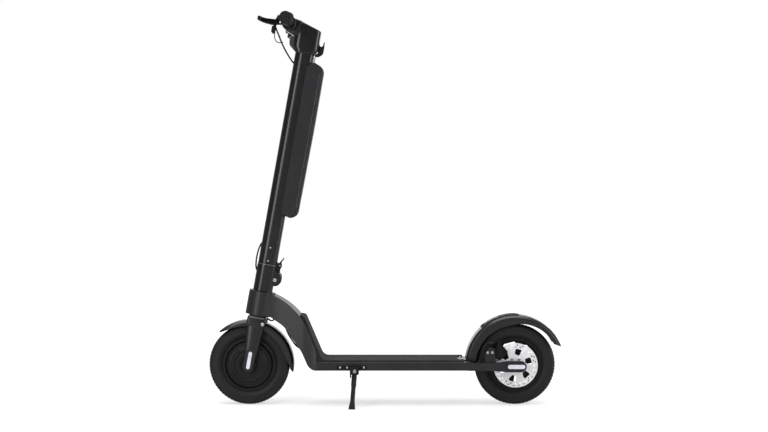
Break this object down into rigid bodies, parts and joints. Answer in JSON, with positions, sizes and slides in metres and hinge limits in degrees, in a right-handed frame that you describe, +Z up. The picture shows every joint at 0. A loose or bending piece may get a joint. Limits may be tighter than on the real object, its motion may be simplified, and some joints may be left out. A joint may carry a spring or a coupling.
{
  "type": "electric kick scooter",
  "caption": "Folding electric kick scooter: hub motor in the front wheel, disc brake at the rear, removable battery on the stem, kickstand on the deck.",
  "frame": {"origin": "on the ground under the middle of the scooter's length and width", "axes": "+Z up, the scooter faces -X, its left side is -Y"},
  "size_m": [1.112, 0.45, 1.231],
  "materials": {
    "satin_frame": "satin powder coat",
    "gloss_black": "satin to gloss black paint",
    "black_plastic": "fine moulded grain",
    "battery_shell": "fine moulded grain",
    "mat_rubber": "grippy mat",
    "tyre": "air tyre",
    "grip_rubber": "ribbed grip",
    "steel": "plated",
    "disc_steel": "ground disc",
    "aluminium": "cast",
    "black_aluminium": "black anodised",
    "reflector": "reflective",
    "lens": "clear moulded",
    "display_glass": "dark glass",
    "red_lens": "clear red",
    "button": "light key",
    "stator": "laminated core",
    "cells": "wrapped cells",
    "cable": "sheath",
    "pads": "sintered"
  },
  "bodies": {
    "root": {"neck_frame": "satin_frame", "deck_frame": "satin_frame", "deck_mat": "mat_rubber", "motor_controller": "aluminium", "rear_fork": "satin_frame", "rear_fender": "black_plastic", "tail_light": "red_lens", "rear_axle": "steel", "rear_axle_covers": "black_plastic", "rear_reflectors": "reflector", "headset_bearings": "steel", "kickstand_bracket": "black_aluminium", "caliper_body": "black_aluminium", "brake_pads": "pads", "frame_screws": "steel", "frame_cables": "cable"},
    "steering": {"fork": "gloss_black", "front_axle": "steel", "front_axle_covers": "black_plastic", "front_reflectors": "reflector", "front_fender": "black_plastic", "motor_stator": "stator", "fold_base": "gloss_black", "steering_bolts": "steel", "motor_cable": "cable"},
    "front_wheel": {"front_tyre": "tyre", "motor_rotor": "black_aluminium", "motor_covers": "black_aluminium", "front_bearings": "steel"},
    "rear_wheel": {"rear_tyre": "tyre", "rear_rim": "black_aluminium", "rear_bearings": "steel", "brake_disc": "disc_steel", "disc_bolts": "steel"},
    "stem": {"stem_foot": "black_aluminium", "stem_tube": "gloss_black", "stem_screws": "steel", "head_casing": "black_plastic", "display": "display_glass", "headlight_lens": "lens", "stem_hook": "black_aluminium", "handlebar": "gloss_black", "grips": "grip_rubber", "brake_lever_mount": "black_aluminium", "bell": "gloss_black", "throttle_body": "black_plastic", "battery_dock": "aluminium", "bar_cables": "cable", "fold_cable": "cable"},
    "battery": {"battery_case": "battery_shell", "battery_cells": "cells"},
    "brake_lever": {"brake_lever": "black_aluminium"},
    "throttle_lever": {"throttle_lever": "black_plastic"},
    "latch_lever": {"latch_lever": "black_aluminium"},
    "bell_striker": {"bell_striker": "black_plastic"},
    "power_button": {"power_button": "button"},
    "kickstand": {"kickstand_leg": "black_aluminium", "kickstand_foot": "grip_rubber"},
    "caliper_arm": {"caliper_arm": "black_aluminium"},
    "fold_catch": {"fold_catch": "black_plastic"}
  },
  "joints": [
    {"name": "steering", "type": "hinge", "parent": "root", "child": "steering", "pos_m": [-0.42902, 0, 0.127], "axis": [0.1771, 0, 0.9842], "range_deg": [-50, 50], "deforming": ["motor_cable"]},
    {"name": "front_wheel_spin", "type": "hinge", "parent": "steering", "child": "front_wheel", "pos_m": [-0.42902, 0, 0.127], "axis": [0, 1, 0], "continuous": true},
    {"name": "rear_wheel_spin", "type": "hinge", "parent": "root", "child": "rear_wheel", "pos_m": [0.41097, 0, 0.127], "axis": [0, 1, 0], "continuous": true},
    {"name": "stem_fold", "type": "hinge", "parent": "steering", "child": "stem", "pos_m": [-0.34749, 0, 0.39378], "axis": [0, 1, 0], "range_deg": [0, 87], "deforming": ["fold_cable"]},
    {"name": "latch_swing", "type": "hinge", "parent": "stem", "child": "latch_lever", "pos_m": [-0.3313, 0, 0.43862], "axis": [0, -1, 0], "range_deg": [0, 28]},
    {"name": "battery_release", "type": "slide", "parent": "stem", "child": "battery", "axis": [0.9842, 0, -0.1771], "range_m": [0, 0.06]},
    {"name": "brake_lever_pull", "type": "hinge", "parent": "stem", "child": "brake_lever", "pos_m": [-0.33135, -0.091, 1.20067], "axis": [0.1771, 0, 0.9842], "range_deg": [0, 20], "stiffness_Nm_per_rad": 1.2, "springref_deg": -5.73},
    {"name": "caliper_squeeze", "type": "hinge", "parent": "root", "child": "caliper_arm", "pos_m": [0.36212, -0.054, 0.16517], "axis": [0, -1, 0], "range_deg": [0, 12], "stiffness_Nm_per_rad": 0.5},
    {"name": "throttle_press", "type": "hinge", "parent": "stem", "child": "throttle_lever", "pos_m": [-0.29897, 0.095, 1.19993], "axis": [0, 1, 0], "range_deg": [0, 30], "stiffness_Nm_per_rad": 0.15, "springref_deg": -8.59},
    {"name": "bell_strike", "type": "hinge", "parent": "stem", "child": "bell_striker", "pos_m": [-0.30094, -0.068, 1.20028], "axis": [-0.1771, 0, -0.9842], "range_deg": [0, 20], "stiffness_Nm_per_rad": 0.1, "springref_deg": -5.73},
    {"name": "power_press", "type": "slide", "parent": "stem", "child": "power_button", "axis": [-0.4632, 0, -0.8863], "range_m": [0, 0.0014], "stiffness_N_per_m": 1500, "springref_m": -0.0003},
    {"name": "kickstand_swing", "type": "hinge", "parent": "root", "child": "kickstand", "pos_m": [-0.0946, -0.086, 0.113], "axis": [0, -0.9781, 0.2079], "range_deg": [0, 90]},
    {"name": "catch_slide", "type": "hinge", "parent": "root", "child": "fold_catch", "pos_m": [0.41097, 0, 0.127], "axis": [0, -1, 0], "range_deg": [0, 4]}
  ],
  "couplings": [
    {"joint": "caliper_squeeze", "follows": "brake_lever_pull", "ratio": 0.6}
  ]
}
